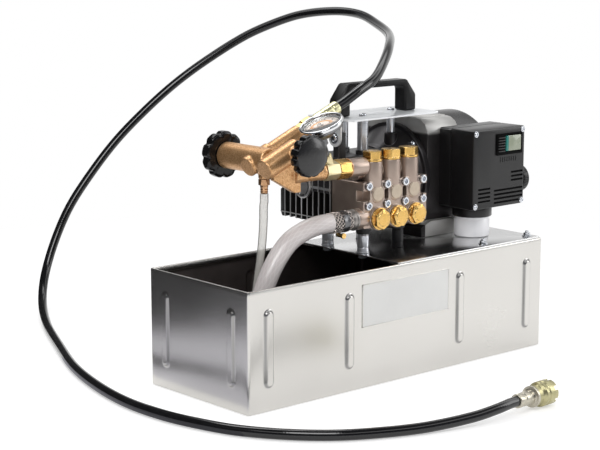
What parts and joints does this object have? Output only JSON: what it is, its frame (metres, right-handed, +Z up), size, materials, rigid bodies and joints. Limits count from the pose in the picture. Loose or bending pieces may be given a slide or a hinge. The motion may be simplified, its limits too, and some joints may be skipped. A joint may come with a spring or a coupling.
{
  "type": "electric hydrostatic test pump",
  "caption": "Electric plunger pump and motor on an open stainless water tank, with gauge, valve block, carry handle and a long pressure hose, for pressure-testing pipework.",
  "frame": {"origin": "centre of the tank's flat underside, on the surface the pump stands on", "axes": "+X along the tank towards the motor's fan cover, +Y from the pump head towards the back, +Z up"},
  "size_m": [0.6027, 0.8347, 0.427],
  "materials": {
    "stainless_sheet": "brushed",
    "polished_stainless": "mirror polished",
    "plated_steel": "zinc plated",
    "dark_steel": "oiled",
    "black_casting": "black coated casting",
    "cast_aluminium": "as cast",
    "grey_metal": "satin",
    "head_bronze": "satin, forged",
    "brass": "bright",
    "pale_brass": "satin",
    "cast_bronze": "sand cast",
    "chrome": "polished",
    "ceramic": "glazed",
    "dial_enamel": "matt enamel",
    "clear_glass": "clear",
    "black_plastic": "moulded",
    "pale_plastic": "moulded",
    "strainer_plastic": "moulded",
    "smoked_lens": "clear moulded",
    "clear_hose": "clear hose",
    "black_rubber": "smooth cover"
  },
  "bodies": {
    "pump": {"tank": "stainless_sheet", "deck_plate": "polished_stainless", "foot_1": "plated_steel", "foot_2": "plated_steel", "foot_3": "plated_steel", "foot_4": "plated_steel", "base_plate": "black_casting", "crankcase": "black_casting", "crank_bearing": "plated_steel", "pump_head": "head_bronze", "suction_valve_cap_1": "brass", "suction_valve_cap_2": "brass", "suction_valve_cap_3": "brass", "discharge_valve_cap_1": "brass", "discharge_valve_cap_2": "brass", "discharge_valve_cap_3": "brass", "discharge_union": "brass", "gauge_tee": "pale_brass", "valve_block": "cast_bronze", "gauge_case": "grey_metal", "gauge_bezel": "chrome", "gauge_lens": "clear_glass", "gauge_dial": "dial_enamel", "outlet_nipple": "brass", "union_nut": "brass", "hose_ferrule": "pale_brass", "pressure_hose": "black_rubber", "end_ferrule": "pale_brass", "return_nipple": "brass", "return_tube": "clear_hose", "suction_barb": "grey_metal", "suction_hose": "clear_hose", "hose_clamp": "plated_steel", "suction_strainer": "strainer_plastic", "motor_bell": "black_casting", "motor_housing": "cast_aluminium", "stator": "dark_steel", "motor_bearing": "plated_steel", "fan_cover": "black_plastic", "switch_box_base": "black_plastic", "switch_box_lid": "black_plastic", "start_capacitor": "pale_plastic", "rocker_bezel": "black_plastic", "cable_gland": "black_plastic", "top_plate": "stainless_sheet", "plate_post_1": "plated_steel", "plate_post_2": "plated_steel", "plate_post_3": "plated_steel", "carry_handle": "black_plastic"},
    "shaft": {"crankshaft": "dark_steel", "rotor": "dark_steel", "cooling_fan": "black_plastic"},
    "first_plunger": {"plunger_1": "ceramic"},
    "second_plunger": {"plunger_2": "ceramic"},
    "third_plunger": {"plunger_3": "ceramic"},
    "regulator": {"regulator_knob": "black_plastic"},
    "shutoff": {"shutoff_knob": "black_plastic"},
    "needle": {"gauge_needle": "black_plastic"},
    "rocker": {"rocker_switch": "smoked_lens"},
    "coupling": {"swivel_coupling": "brass"}
  },
  "joints": [
    {"name": "motor_shaft", "type": "hinge", "parent": "pump", "child": "shaft", "pos_m": [0.084, 0.062, 0.2235], "axis": [1, 0, 0], "continuous": true},
    {"name": "plunger_1_stroke", "type": "slide", "parent": "pump", "child": "first_plunger", "axis": [0, 1, 0], "range_m": [-0.005, 0.005]},
    {"name": "plunger_2_stroke", "type": "slide", "parent": "pump", "child": "second_plunger", "axis": [0, 1, 0], "range_m": [-0.005, 0.005]},
    {"name": "plunger_3_stroke", "type": "slide", "parent": "pump", "child": "third_plunger", "axis": [0, 1, 0], "range_m": [-0.005, 0.005]},
    {"name": "regulator_turn", "type": "hinge", "parent": "pump", "child": "regulator", "pos_m": [-0.1615, 0.054, 0.2755], "axis": [0, 1, 0], "range_deg": [-1080, 0]},
    {"name": "shutoff_turn", "type": "hinge", "parent": "pump", "child": "shutoff", "pos_m": [-0.13959, -0.0535, 0.2848], "axis": [0, -1, 0], "range_deg": [-720, 0]},
    {"name": "needle_sweep", "type": "hinge", "parent": "pump", "child": "needle", "pos_m": [-0.1006, -0.047, 0.3192], "axis": [-0.3907, 0, 0.9205], "range_deg": [-270, 0]},
    {"name": "rocker_tilt", "type": "hinge", "parent": "pump", "child": "rocker", "pos_m": [0.2235, -0.06, 0.2681], "axis": [0, 0, 1], "range_deg": [0, 18]},
    {"name": "coupling_swivel", "type": "hinge", "parent": "pump", "child": "coupling", "pos_m": [0.01424, -0.28365, 0.015], "axis": [0.9981, 0.061, 0], "continuous": true}
  ]
}
